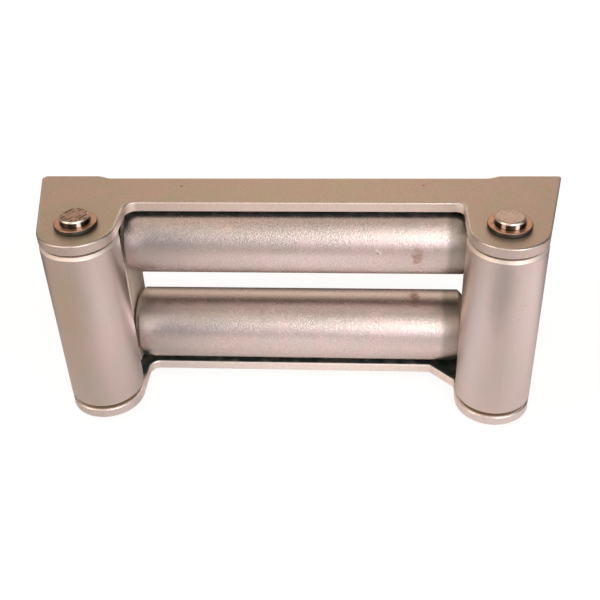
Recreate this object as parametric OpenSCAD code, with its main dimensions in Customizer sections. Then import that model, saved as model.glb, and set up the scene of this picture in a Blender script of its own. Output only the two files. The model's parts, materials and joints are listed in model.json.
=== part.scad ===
// Four-way roller fairlead in zinc-plated steel. Two upright rollers turn on pins between the ears of a
// top and a bottom plate. Two level rollers turn behind them on pins between two end plates. Flanges
// outside the end plates bolt the frame to a winch plate.
// The origin is the centre of the bolt pattern on the rear mounting plane. X runs to the right, Y to the
// rear and Z up, so the rope enters from -Y.

/* [Mounting flanges] */
// Distance between the two mounting bolts
bolt_spacing = 254; // [230:1:280]
// Diameter of a mounting bolt hole
bolt_hole_d = 13.5; // [9:0.1:15]
// From the outer face of an end plate to the bolt
bolt_inset = 23.5; // [20:0.1:30]
// From the bolt to the outer edge of the flange
flange_edge = 16; // [12:0.5:18]
// Thickness of a mounting flange
flange_t = 5.3; // [4:0.1:7]

/* [Rollers] */
// Outside diameter of every roller
roller_d = 42.2; // [38:0.1:46]
// Bore of every roller
roller_bore_d = 26; // [24:0.1:29]
// Chamfer on the ends of an upright roller
upright_chamfer = 1.5; // [0.5:0.1:2.5]
// Chamfer on the ends of a level roller
level_chamfer = 2.4; // [1:0.1:3]
// Clear gap between the two level rollers
level_gap = 19.8; // [14:0.1:30]
// How far an upright roller reaches in past the face of its end plate
upright_inset = 6.3; // [5:0.1:7.5]
// How far an upright roller reaches back past the front of the level rollers
upright_lap = 6.4; // [4:0.1:7.5]
// Gap between a level roller and the mounting plane
rear_clearance = 0.3; // [0.2:0.1:3]
// Gap between a level roller and the plate beside it
plate_clearance = 1.05; // [0.5:0.05:3]

/* [Plates] */
// Thickness of the top and bottom plates
plate_t = 5.9; // [4:0.1:7]
// Thickness of the end plates
end_plate_t = 5.3; // [4:0.1:7]
// How much smaller than the roller an ear is, in radius
ear_inset = 0.1; // [0:0.1:3]
// From the bolt to the rear corner of the top plate
top_corner_edge = 20.6; // [17:0.1:26]
// From the bolt to the rear corner of the bottom plate
bottom_corner_edge = 18.4; // [17:0.1:26]
// Rear edge of the plates in front of the mounting plane
rear_setback = 2; // [0.5:0.1:3]
// Depth of the relief in the rear edge
relief_depth = 2.7; // [1:0.1:4]
// From an end plate to the end of the relief
relief_reach = 4.1; // [2:0.1:6]
// Length of the sloped end of the relief
relief_run = 5.9; // [3:0.1:9]
// Metal between a level pin hole and the front edge of the plates
pin_edge = 3.1; // [2:0.1:6]
// Fillet radius beside a left ear
left_fillet_r = 6; // [3:0.1:9]
// Fillet radius beside the upper right ear
right_fillet_r = 4.5; // [3:0.1:9]
// Leg of the sloped corner beside the lower right ear
slope_leg = 13.7; // [8:0.1:16]
// Radius of the left rear corners
left_corner_r = 3.2; // [1:0.1:8]
// Radius of the right rear corners
right_corner_r = 1.5; // [0.5:0.1:8]

/* [Pins and rings] */
// Diameter of every pin
pin_d = 15.9; // [14:0.1:17]
// Radial clearance of a pin in its plates
pin_plate_clearance = 0.15; // [0.05:0.01:0.4]
// Length of a pin beyond its ring
tip_l = 3.7; // [2.5:0.1:7]
// Radius of the rounded pin tip
tip_r = 1.4; // [0.5:0.1:2.2]
// Thickness of a retaining ring
ring_t = 2.6; // [1.5:0.1:3.5]
// How far a ring stands out from its pin
ring_stand = 3.6; // [2.5:0.05:4.5]
// Chamfer on the outer edges of a ring
ring_chamfer = 0.7; // [0.2:0.1:0.7]
// Opening of a ring, in degrees
ring_mouth = 48; // [30:1:80]
// Gap between a ring and its plate
ring_gap = 0.3; // [0.1:0.05:0.6]
// Depth of a ring groove
groove_depth = 0.7; // [0.4:0.05:1.2]
// Clearance of a ring in its groove
groove_clearance = 0.05; // [0.02:0.01:0.15]

/* [Bushes] */
// Length of a bush inside its roller
bush_l = 22; // [12:0.5:35]
// How far the bush flange stands out past the roller bore
bush_rim = 4; // [2:0.1:5]
// Thickness of the bush flange
bush_flange_t = 1.5; // [0.6:0.1:2]
// Gap between a bush flange and its plate
bush_end_gap = 0.3; // [0.1:0.05:0.6]
// Radial running clearance between a pin and its bush
running_clearance = 0.05; // [0.02:0.01:0.1]
// Radial clearance of a bush in its roller
bush_clearance = 0.02; // [0:0.01:0.05]

/* [Welds] */
// Leg of a weld bead
weld_leg = 3; // [2:0.1:4]
// Distance that a bead stops short of an edge
weld_stop = 1.5; // [0.5:0.1:4]

/* [Hidden] */
$fn = 96;

plate_colour = [0.71, 0.61, 0.51];
roller_colour = [0.74, 0.68, 0.64];
pin_colour = [0.62, 0.48, 0.38];
ring_colour = [0.60, 0.43, 0.32];
bush_colour = [0.66, 0.52, 0.28];
weld_colour = [0.64, 0.58, 0.52];

left = -1;
right = 1;
bottom = -1;
top = 1;

// A cut reaches this far past the face that it opens, and a filled corner this far into its plate
cut_over = 1;

// End plates, across X
end_outer_x = bolt_spacing / 2 - bolt_inset;
end_inner_x = end_outer_x - end_plate_t;
flange_outer_x = bolt_spacing / 2 + flange_edge;

// Roller axes and the clear height between the plates
roller_r = roller_d / 2;
level_y = -(roller_r + rear_clearance);
level_z = roller_r + level_gap / 2;
upright_x = end_inner_x - upright_inset + roller_r;
upright_y = level_y - roller_d + upright_lap;
inner_z = level_z + roller_r + plate_clearance;
outer_z = inner_z + plate_t;

// A roller ends at its bush flange, which clears the plate
roller_end_gap = bush_flange_t + bush_end_gap;
upright_half = inner_z - roller_end_gap;
level_half = end_inner_x - roller_end_gap;

// Pins, holes, grooves and rings
pin_r = pin_d / 2;
pin_hole_r = pin_r + pin_plate_clearance;
groove_r = pin_r - groove_depth;
ring_inner_r = groove_r + groove_clearance;
ring_outer_r = pin_r + ring_stand;
pin_stand = ring_gap + ring_t + tip_l;

// Plate outline: the front edge between the ears is flush with the end plates
front_y = level_y - pin_hole_r - pin_edge;
rear_y = -rear_setback;
relief_y = rear_y - relief_depth;
relief_x = end_outer_x + relief_reach;
ear_r = roller_r - ear_inset;
ear_inner_x = upright_x - ear_r;

// Each outer side of a plate runs from the rear corner to a tangent point on the ear. edge is the distance
// from the bolt to that corner.
function rear_corner(edge) = [bolt_spacing / 2 + edge, rear_y];
function tangent_angle(edge) =
  let (from_pin = rear_corner(edge) - [upright_x, upright_y])
  atan2(from_pin.y, from_pin.x) - acos(ear_r / norm(from_pin));
function direction(angle) = [cos(angle), sin(angle)];
function tangent_point(edge) = [upright_x, upright_y] + ear_r * direction(tangent_angle(edge));

// A bead between an end plate and its flange stays between the rings of the level pins
stitch_l = 2 * (level_z - ring_outer_r - weld_stop);
// The face of a bead is an arc whose centre lies this far behind the corner
bead_sink = weld_leg / 2;

module mirror_to(side, axis) {
  mirror(side < 0 ? axis : [0, 0, 0]) children();
}

module at_upright(side) {
  translate([side * upright_x, upright_y, 0]) children();
}

// Local Z lies along X
module at_level(side) {
  translate([0, level_y, side * level_z]) rotate([0, 90, 0]) children();
}

// Points of a plate's outline on one side, from the middle of the rear edge round to the front edge
function side_points(side, edge) = [
  for (point = [
    [relief_x, relief_y],
    [relief_x + relief_run, rear_y],
    rear_corner(edge),
    tangent_point(edge),
    [upright_x, upright_y],
    [ear_inner_x, upright_y],
    [ear_inner_x, front_y]
  ]) [side * point.x, point.y]
];

function reversed(list) = [for (i = [len(list) - 1 : -1 : 0]) list[i]];

// What a radius takes off the right rear corner, outside its arc
module corner_waste(r, edge) {
  corner = rear_corner(edge);
  corner_angle = 90 + tangent_angle(edge);
  reach = r / tan(corner_angle / 2);
  rear_end = corner - [reach, 0];
  side_end = corner - reach * direction(corner_angle);
  centre = corner - [reach, r];
  rear_out = [0, cut_over];
  side_out = cut_over * direction(tangent_angle(edge));
  difference() {
    polygon([
      centre,
      side_end,
      side_end + side_out,
      corner + side_out + rear_out,
      rear_end + rear_out,
      rear_end
    ]);
    translate(centre) circle(r);
  }
}

// Metal that fills the corner between the right ear and the front edge, as a fillet
module ear_fillet(r) {
  translate([ear_inner_x - r, front_y - r]) difference() {
    square(r + cut_over);
    circle(r);
  }
}

// The same corner filled by a straight slope
module ear_slope(leg) {
  polygon([
    [ear_inner_x + cut_over, front_y + cut_over],
    [ear_inner_x - leg - cut_over, front_y + cut_over],
    [ear_inner_x + cut_over, front_y - leg - cut_over]
  ]);
}

// A drill or cutter through a plate that lies with its lower face at Z 0
module through_plate() {
  translate([0, 0, -cut_over]) linear_extrude(plate_t + 2 * cut_over) children();
}

// A plate lying with its lower face at Z 0. The children fill the corner beside the right ear, and edge is
// the distance from the bolt to a rear corner.
module plate(edge) {
  outline = concat(reversed(side_points(left, edge)), side_points(right, edge));
  difference() {
    union() {
      linear_extrude(plate_t) polygon(outline);
      for (side = [left, right]) translate([side * upright_x, upright_y, 0]) cylinder(r = ear_r, h = plate_t);
      linear_extrude(plate_t) mirror([1, 0]) ear_fillet(left_fillet_r);
      linear_extrude(plate_t) children();
    }
    for (side = [left, right]) translate([side * upright_x, upright_y, 0]) through_plate() circle(pin_hole_r);
    through_plate() mirror([1, 0]) corner_waste(left_corner_r, edge);
    through_plate() corner_waste(right_corner_r, edge);
  }
}

module top_plate() {
  color(plate_colour) translate([0, 0, inner_z]) plate(top_corner_edge) ear_fillet(right_fillet_r);
}

module bottom_plate() {
  color(plate_colour) translate([0, 0, -outer_z]) plate(bottom_corner_edge) ear_slope(slope_leg);
}

module end_plate(side) {
  mirror_to(side, [1, 0, 0]) difference() {
    translate([end_inner_x, front_y, -inner_z]) cube([end_plate_t, -front_y, 2 * inner_z]);
    for (level = [bottom, top]) {
      translate([end_inner_x - cut_over, level_y, level * level_z]) rotate([0, 90, 0])
        cylinder(r = pin_hole_r, h = end_plate_t + 2 * cut_over);
    }
  }
}

module left_end_plate() {
  color(plate_colour) end_plate(left);
}

module right_end_plate() {
  color(plate_colour) end_plate(right);
}

module mounting_flange(side) {
  mirror_to(side, [1, 0, 0]) difference() {
    translate([end_outer_x, -flange_t, -inner_z]) cube([flange_outer_x - end_outer_x, flange_t, 2 * inner_z]);
    translate([bolt_spacing / 2, cut_over, 0]) rotate([90, 0, 0])
      cylinder(d = bolt_hole_d, h = flange_t + 2 * cut_over);
  }
}

module left_mounting_flange() {
  color(plate_colour) mounting_flange(left);
}

module right_mounting_flange() {
  color(plate_colour) mounting_flange(right);
}

// A convex fillet bead along Z, in the corner between +X and +Y
module bead(length) {
  linear_extrude(length) intersection() {
    square(weld_leg);
    translate([-bead_sink, -bead_sink]) circle(norm([weld_leg + bead_sink, bead_sink]));
  }
}

module weld_beads() {
  color(weld_colour) for (side = [left, right]) mirror_to(side, [1, 0, 0]) {
    for (level = [bottom, top]) mirror_to(level, [0, 0, 1]) {
      translate([end_outer_x, front_y + weld_stop, inner_z]) rotate([-90, 0, 0])
        bead(-flange_t - weld_leg - front_y - weld_stop);
      translate([end_outer_x, -flange_t, inner_z]) rotate([-90, 0, -90])
        bead(flange_outer_x - end_outer_x - weld_stop);
    }
    translate([end_outer_x, -flange_t, stitch_l / 2]) rotate([180, 0, 0]) bead(stitch_l);
  }
}

// A tube about Z with chamfered ends
module roller(half, chamfer) {
  color(roller_colour) rotate_extrude() polygon([
    [roller_bore_d / 2, -half],
    [roller_r - chamfer, -half],
    [roller_r, -half + chamfer],
    [roller_r, half - chamfer],
    [roller_r - chamfer, half],
    [roller_bore_d / 2, half]
  ]);
}

module left_roller() {
  at_upright(left) roller(upright_half, upright_chamfer);
}

module right_roller() {
  at_upright(right) roller(upright_half, upright_chamfer);
}

module upper_roller() {
  at_level(top) roller(level_half, level_chamfer);
}

module lower_roller() {
  at_level(bottom) roller(level_half, level_chamfer);
}

// A flanged bush in one end of a roller, with its flange on the roller's end face
module bush(half, end) {
  sleeve_r = roller_bore_d / 2 - bush_clearance;
  bore_r = pin_r + running_clearance;
  flange_r = roller_bore_d / 2 + bush_rim;
  color(bush_colour) mirror_to(end, [0, 0, 1]) translate([0, 0, half]) rotate_extrude() polygon([
    [bore_r, -bush_l],
    [sleeve_r, -bush_l],
    [sleeve_r, 0],
    [flange_r, 0],
    [flange_r, bush_flange_t],
    [bore_r, bush_flange_t]
  ]);
}

module left_roller_top_bush() {
  at_upright(left) bush(upright_half, top);
}

module left_roller_bottom_bush() {
  at_upright(left) bush(upright_half, bottom);
}

module right_roller_top_bush() {
  at_upright(right) bush(upright_half, top);
}

module right_roller_bottom_bush() {
  at_upright(right) bush(upright_half, bottom);
}

module upper_roller_left_bush() {
  at_level(top) bush(level_half, left);
}

module upper_roller_right_bush() {
  at_level(top) bush(level_half, right);
}

module lower_roller_left_bush() {
  at_level(bottom) bush(level_half, left);
}

module lower_roller_right_bush() {
  at_level(bottom) bush(level_half, right);
}

// Half of the pin's section, from its middle to its rounded tip. grip is the distance from the middle to
// the outer face of the plate.
module half_pin_section(grip) {
  tip = grip + pin_stand;
  difference() {
    union() {
      square([pin_r, tip - tip_r]);
      square([pin_r - tip_r, tip]);
      translate([pin_r - tip_r, tip - tip_r]) circle(tip_r);
    }
    translate([groove_r, grip + ring_gap - groove_clearance])
      square([pin_r, ring_t + 2 * groove_clearance]);
  }
}

module pin(grip) {
  color(pin_colour) rotate_extrude() {
    half_pin_section(grip);
    mirror([0, 1]) half_pin_section(grip);
  }
}

module left_pin() {
  at_upright(left) pin(outer_z);
}

module right_pin() {
  at_upright(right) pin(outer_z);
}

module upper_pin() {
  at_level(top) pin(end_outer_x);
}

module lower_pin() {
  at_level(bottom) pin(end_outer_x);
}

// An open retaining ring in one groove of a pin, with its mouth to the rear
module ring(grip, end) {
  color(ring_colour) mirror_to(end, [0, 0, 1]) translate([0, 0, grip + ring_gap])
    rotate([0, 0, 90 + ring_mouth / 2]) rotate_extrude(angle = 360 - ring_mouth) polygon([
      [ring_inner_r, 0],
      [ring_outer_r - ring_chamfer, 0],
      [ring_outer_r, ring_chamfer],
      [ring_outer_r, ring_t - ring_chamfer],
      [ring_outer_r - ring_chamfer, ring_t],
      [ring_inner_r, ring_t]
    ]);
}

module left_pin_top_ring() {
  at_upright(left) ring(outer_z, top);
}

module left_pin_bottom_ring() {
  at_upright(left) ring(outer_z, bottom);
}

module right_pin_top_ring() {
  at_upright(right) ring(outer_z, top);
}

module right_pin_bottom_ring() {
  at_upright(right) ring(outer_z, bottom);
}

module upper_pin_left_ring() {
  at_level(top) ring(end_outer_x, left);
}

module upper_pin_right_ring() {
  at_level(top) ring(end_outer_x, right);
}

module lower_pin_left_ring() {
  at_level(bottom) ring(end_outer_x, left);
}

module lower_pin_right_ring() {
  at_level(bottom) ring(end_outer_x, right);
}

top_plate();
bottom_plate();
left_end_plate();
right_end_plate();
left_mounting_flange();
right_mounting_flange();
weld_beads();
left_roller();
right_roller();
upper_roller();
lower_roller();
left_roller_top_bush();
left_roller_bottom_bush();
right_roller_top_bush();
right_roller_bottom_bush();
upper_roller_left_bush();
upper_roller_right_bush();
lower_roller_left_bush();
lower_roller_right_bush();
left_pin();
right_pin();
upper_pin();
lower_pin();
left_pin_top_ring();
left_pin_bottom_ring();
right_pin_top_ring();
right_pin_bottom_ring();
upper_pin_left_ring();
upper_pin_right_ring();
lower_pin_left_ring();
lower_pin_right_ring();
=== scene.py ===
import json
import math

import bpy
import numpy as np
from mathutils import Matrix, Vector
from mathutils.geometry import delaunay_2d_cdt


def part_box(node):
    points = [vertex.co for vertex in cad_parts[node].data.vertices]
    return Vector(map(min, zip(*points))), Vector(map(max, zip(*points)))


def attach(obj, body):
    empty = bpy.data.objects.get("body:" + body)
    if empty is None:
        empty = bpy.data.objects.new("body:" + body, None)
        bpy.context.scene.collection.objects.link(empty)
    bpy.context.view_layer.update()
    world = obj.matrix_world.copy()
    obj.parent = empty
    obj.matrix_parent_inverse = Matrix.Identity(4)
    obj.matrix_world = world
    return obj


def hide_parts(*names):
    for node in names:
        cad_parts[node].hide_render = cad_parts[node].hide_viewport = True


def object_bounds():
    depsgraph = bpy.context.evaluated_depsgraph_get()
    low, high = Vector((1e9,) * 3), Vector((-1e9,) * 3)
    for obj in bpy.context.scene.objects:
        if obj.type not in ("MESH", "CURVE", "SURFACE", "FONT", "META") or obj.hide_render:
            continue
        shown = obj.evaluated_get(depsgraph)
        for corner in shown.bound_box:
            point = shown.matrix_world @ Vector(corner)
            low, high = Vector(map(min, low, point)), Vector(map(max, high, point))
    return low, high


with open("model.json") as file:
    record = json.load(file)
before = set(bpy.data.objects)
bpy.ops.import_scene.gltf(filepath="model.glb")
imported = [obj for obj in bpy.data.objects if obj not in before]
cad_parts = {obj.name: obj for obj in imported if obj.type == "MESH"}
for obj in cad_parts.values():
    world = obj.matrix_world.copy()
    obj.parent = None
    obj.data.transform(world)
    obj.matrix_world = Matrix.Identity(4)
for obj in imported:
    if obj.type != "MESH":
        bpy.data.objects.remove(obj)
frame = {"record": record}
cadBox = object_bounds()
nodeBody = {node: body for body, nodes in frame["record"]["behaviour"]["bodies"].items() for node in nodes}


# Camera at the photograph's place: a point, three turns and a lens for a square picture

cameraView = {
    "place": (0.042457, -0.470873, 0.311468),
    "yaw": 5.315,
    "pitch": 35.794,  # looking down
    "roll": -2.529,
    "lens": 56.04,
    "sensor": 36.0,
    "clip": (0.01, 50),
}


def addCamera(view):
    yaw, pitch, roll = (math.radians(view[key]) for key in ("yaw", "pitch", "roll"))
    right = Vector((math.cos(yaw), math.sin(yaw), 0))
    ahead = Vector((-math.sin(yaw) * math.cos(pitch), math.cos(yaw) * math.cos(pitch), -math.sin(pitch)))
    up = right.cross(ahead)
    turnedRight = right * math.cos(roll) + up * math.sin(roll)
    turnedUp = up * math.cos(roll) - right * math.sin(roll)
    data = bpy.data.cameras.new("camera")
    data.lens = view["lens"]
    data.sensor_width = view["sensor"]
    data.clip_start, data.clip_end = view["clip"]
    camera = bpy.data.objects.new("camera", data)
    turn = Matrix((turnedRight, turnedUp, -ahead)).transposed().to_4x4()
    camera.matrix_world = Matrix.Translation(view["place"]) @ turn
    bpy.context.scene.collection.objects.link(camera)
    bpy.context.scene.camera = camera


addCamera(cameraView)
print("camera set")


# Surfaces: every new piece is a grid of points worked out from a rounded outline

axisFrames = {  # U, V and W of a right-handed frame whose W is that axis
    "x": np.array([(0, 1, 0), (0, 0, 1), (1, 0, 0)], float),
    "y": np.array([(0, 0, 1), (1, 0, 0), (0, 1, 0)], float),
    "z": np.array([(1, 0, 0), (0, 1, 0), (0, 0, 1)], float),
}
arcShape = {"chord": 0.0004, "fewest": 4, "most": 96, "plateRows": 6}


# A corner between two straight runs becomes an arc that touches both: its centre is on the bisector, at the
# radius over the sine of half the angle. Corners are (u, v, radius) in a left turning order, and the result
# is points and outward normals. An open outline starts and ends on its plain end points.
def roundedOutline(corners, closed=True):
    places = np.array([corner[:2] for corner in corners], float)
    count = len(corners)
    points, normals = [], []
    for i, (u, v, radius) in enumerate(corners):
        here = places[i]
        if not closed and i in (0, count - 1):
            along = places[1] - places[0] if i == 0 else places[-1] - places[-2]
            along = along / np.linalg.norm(along)
            points.append(here[None])
            normals.append(np.array([[along[1], -along[0]]]))
            continue
        back = places[i - 1] - here
        ahead = places[(i + 1) % count] - here
        back = back / np.linalg.norm(back)
        ahead = ahead / np.linalg.norm(ahead)
        half = math.acos(np.clip(back @ ahead, -1, 1)) / 2
        bisector = (back + ahead) / np.linalg.norm(back + ahead)
        centre = here + bisector * radius / math.sin(half)
        side = 1 if back[1] * ahead[0] > back[0] * ahead[1] else -1  # an inward corner turns the other way
        first = here + back * radius / math.tan(half) - centre
        sweep = side * (math.pi - 2 * half)
        steps = int(np.clip(abs(sweep) * radius / arcShape["chord"], arcShape["fewest"], arcShape["most"]))
        angles = math.atan2(first[1], first[0]) + np.linspace(0, sweep, steps + 1)
        ray = np.stack([np.cos(angles), np.sin(angles)], 1)
        points.append(centre + radius * ray)
        normals.append(side * ray)
    return np.concatenate(points), np.concatenate(normals)


# The outline of a hole runs the other way, and its outward side is towards the middle of the hole
def holeOutline(centre, radius, steps=96):
    angles = -np.linspace(0, 2 * np.pi, steps, endpoint=False)
    ray = np.stack([np.cos(angles), np.sin(angles)], 1)
    return np.array(centre) + radius * ray, -ray


# Faces between neighbouring rows and columns of an index grid. Repeated indices at a pole leave triangles.
def gridFaces(index, closeRows, closeColumns):
    rows = np.vstack([index, index[:1]]) if closeRows else index
    grid = np.hstack([rows, rows[:, :1]]) if closeColumns else rows
    quads = np.stack([grid[:-1, :-1], grid[:-1, 1:], grid[1:, 1:], grid[1:, :-1]], -1).reshape(-1, 4)
    rings = [[a for a, b in zip(quad, quad[1:] + quad[:1]) if a != b] for quad in quads.tolist()]
    return [ring for ring in rings if len(ring) > 2]


# Puts the arrays into a mesh that stands for a CAD node, on the same body and with the given material
def addPiece(node, points, normals, faces, material, values=None):
    used, packed = np.unique(np.concatenate(faces), return_inverse=True)
    ends = np.cumsum([len(face) for face in faces])
    mesh = bpy.data.meshes.new(node + "_skin")
    mesh.from_pydata(points[used].tolist(), [], [part.tolist() for part in np.split(packed, ends[:-1])])
    mesh.polygons.foreach_set("use_smooth", np.ones(len(mesh.polygons), bool))
    mesh.normals_split_custom_set_from_vertices(normals[used].tolist())
    for label, value in (values or {}).items():
        layer = mesh.attributes.new(label, "FLOAT", "POINT")
        layer.data.foreach_set("value", value[used].astype(np.float32))
    mesh.materials.append(material)
    piece = bpy.data.objects.new(node + "_skin", mesh)
    bpy.context.scene.collection.objects.link(piece)
    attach(piece, nodeBody[node])
    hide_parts(node)


# A turned piece: the outline is (radius, height), and a point of it at an angle is
# centre + radius * (cos(angle) * U + sin(angle) * V) + height * W. A ring that doesn't close gets two flat
# ends.
def addTurned(node, outline, axis, centre, steps, material, span=None, closed=True):
    section, sectionNormals = outline
    u, v, w = axisFrames[axis]
    angles = np.linspace(0, 2 * np.pi, steps, endpoint=False) if span is None else np.linspace(*span, steps)
    ray = np.cos(angles)[:, None] * u + np.sin(angles)[:, None] * v
    points = section[:, None, :1] * ray + section[:, None, 1:] * w + np.array(centre)
    normals = sectionNormals[:, None, :1] * ray + sectionNormals[:, None, 1:] * w
    index = np.arange(len(section) * steps).reshape(len(section), steps)
    if not closed:
        index[[0, -1]] = index[[0, -1], :1]  # both poles on the axis
    faces = gridFaces(index, closed, span is None)
    points, normals = points.reshape(-1, 3), normals.reshape(-1, 3)
    if span is not None:
        for column, order in ((0, 1), (-1, -1)):
            start = len(points)
            points = np.vstack([points, points[index[:, column]]])
            flat = np.cross(ray[column], w) * order
            normals = np.vstack([normals, np.tile(flat, (len(section), 1))])
            faces.append(list(range(start, len(points)))[::order])
    addPiece(node, points, normals, faces, material)


# Triangles inside the first rim and outside the others, from the rims' own indices and places
def rimTriangles(rims):
    flat = np.concatenate([drawn for ids, drawn in rims])
    owner = np.repeat(np.arange(len(rims)), [len(ids) for ids, drawn in rims])
    rings = [np.flatnonzero(owner == rim) for rim in range(len(rims))]
    edges = np.concatenate([np.stack([ring, np.roll(ring, -1)], 1) for ring in rings])
    places = [Vector(place) for place in flat * 1000]
    inside, nearest = 1, 1e-6  # triangles inside the rims only, and the least distance of two points in mm
    found = delaunay_2d_cdt(places, edges.tolist(), [], inside, nearest)
    source = np.array([ids[0] for ids in found[3]])
    triangles = source[np.array(found[2])]
    owners = owner[triangles]
    inHole = (owners[:, 0] > 0) & (owners.min(1) == owners.max(1))
    triangles = triangles[~inHole]
    a, b, c = (flat[triangles[:, i]] for i in range(3))
    leftTurn = (b - a)[:, 0] * (c - a)[:, 1] > (b - a)[:, 1] * (c - a)[:, 0]
    triangles[~leftTurn] = triangles[~leftTurn][:, ::-1]
    return np.concatenate([ids for ids, drawn in rims])[triangles]


# A piece cut from plate: at both faces each outline is drawn in round a quarter ellipse, whose inset and
# depth are given for the low and the high face. A row of points is outline - normal * inset at its height
# along W. cutEdge is 0 on the faces and 1 on the cut sides, and facing is 1 on the high face and -1 on the
# low one.
def addCut(node, outlines, axis, low, high, edges, material):
    u, v, w = axisFrames[axis]
    (lowInset, lowDepth), (highInset, highDepth) = edges
    quarter = np.linspace(0, np.pi / 2, arcShape["plateRows"])
    turn = np.concatenate([quarter, quarter[::-1]])  # 0 on a face, a quarter turn on the cut side
    side = np.repeat([-1.0, 1.0], len(quarter))
    inset = np.where(side < 0, lowInset, highInset)
    depth = np.where(side < 0, lowDepth, highDepth)
    heights = np.where(side < 0, low + depth, high - depth) + side * depth * np.cos(turn)
    insets = inset * (1 - np.sin(turn))
    slopes = np.stack([np.sin(turn) / inset, side * np.cos(turn) / depth])
    outward, upward = slopes / np.linalg.norm(slopes, axis=0)
    rise, lean = heights[:, None, None] * w, upward[:, None, None] * w
    points, normals, cut, facing = [], [], [], []
    faces, lowRims, highRims = [], [], []
    start = 0
    for outline, outlineNormals in outlines:
        drawn = outline - outlineNormals * insets[:, None, None]
        points.append((drawn[..., :1] * u + drawn[..., 1:] * v + rise).reshape(-1, 3))
        leaning = outlineNormals * outward[:, None, None]
        normals.append((leaning[..., :1] * u + leaning[..., 1:] * v + lean).reshape(-1, 3))
        cut.append(np.repeat(outward, len(outline)))
        facing.append(np.repeat(upward, len(outline)))
        index = start + np.arange(len(insets) * len(outline)).reshape(len(insets), len(outline))
        faces += gridFaces(index, False, True)
        lowRims.append((index[0], drawn[0]))
        highRims.append((index[-1], drawn[-1]))
        start += index.size
    faces += rimTriangles(lowRims)[:, ::-1].tolist()  # turned over, to look down
    faces += rimTriangles(highRims).tolist()
    addPiece(node, np.concatenate(points), np.concatenate(normals), faces, material,
             {"cutEdge": np.concatenate(cut), "facing": np.concatenate(facing)})


# Shader nodes: a socket is linked when it is given a socket, and set when it is given a value. i0, i1 and so
# on are sockets by number.

def setSockets(tree, made, sockets):
    for key, value in sockets.items():
        byNumber = key[0] == "i" and key[1:].isdigit()
        socket = made.inputs[int(key[1:]) if byNumber else key.replace("_", " ")]
        if isinstance(value, bpy.types.NodeSocket):
            tree.links.new(value, socket)
        else:
            socket.default_value = value


def addNode(tree, kind, settings=None, **sockets):
    made = tree.nodes.new("ShaderNode" + kind)
    for key, value in (settings or {}).items():
        setattr(made, key, value)
    setSockets(tree, made, sockets)
    return made


def useGroup(tree, group, **sockets):
    made = tree.nodes.new("ShaderNodeGroup")
    made.node_tree = group
    setSockets(tree, made, sockets)
    return made.outputs


def mathNode(tree, operation, a, b=0.0, c=0.0):
    return addNode(tree, "Math", {"operation": operation}, i0=a, i1=b, i2=c).outputs[0]


def product(tree, first, *others):
    for other in others:
        first = mathNode(tree, "MULTIPLY", first, other)
    return first


def vectorNode(tree, operation, a, b=(0.0, 0.0, 0.0)):
    made = addNode(tree, "VectorMath", {"operation": operation}, i0=a, i1=b)
    return made.outputs["Value" if operation in ("LENGTH", "DOT_PRODUCT") else "Vector"]


def partOf(tree, vector, axis):
    return addNode(tree, "SeparateXYZ", Vector=vector).outputs[axis.upper()]


def noiseNode(tree, vector, scale, detail=3.0, rough=0.6, distortion=0.0):
    made = addNode(tree, "TexNoise", Vector=vector, Scale=scale, Detail=detail, Roughness=rough,
                   Distortion=distortion)
    return made.outputs["Fac"]  # about 0.5


def rangeNode(tree, value, low, high, toLow=0.0, toHigh=1.0):
    made = addNode(tree, "MapRange", {"interpolation_type": "SMOOTHSTEP"}, Value=value, From_Min=low,
                   From_Max=high, To_Min=toLow, To_Max=toHigh)
    return made.outputs["Result"]


def mixColour(tree, share, a, b, blend="MIX"):
    return addNode(tree, "Mix", {"data_type": "RGBA", "blend_type": blend}, i0=share, i6=a, i7=b).outputs[2]


def bumpNode(tree, height, strength, distance):
    return addNode(tree, "Bump", Height=height, Strength=strength, Distance=distance).outputs[0]


# Inputs and outputs are lists of labels under their kind
def newGroup(name, inputs, outputs):
    group = bpy.data.node_groups.new(name, "ShaderNodeTree")
    for way, sockets in (("INPUT", inputs), ("OUTPUT", outputs)):
        for kind, labels in sockets.items():
            for label in labels:
                group.interface.new_socket(label, in_out=way, socket_type="NodeSocket" + kind)
    given = group.nodes.new("NodeGroupInput").outputs
    out = group.nodes.new("NodeGroupOutput").inputs
    return group, given, out


# Zinc plating: slow patches drift between a pink and an olive tone, and a fine grain makes the tone lighter
# and darker by the same share. Height is the grain. Here and below, a span is the two values between which a
# share runs from 0 to 1, or from the span's third value to its fourth.
platingShape = {"pinkSpan": (0.48, 0.64), "oliveSpan": (0.52, 0.36), "patchBend": 0.4, "grainRough": 0.7,
                "grainGain": 4.0, "swingGain": 2.0}


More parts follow.
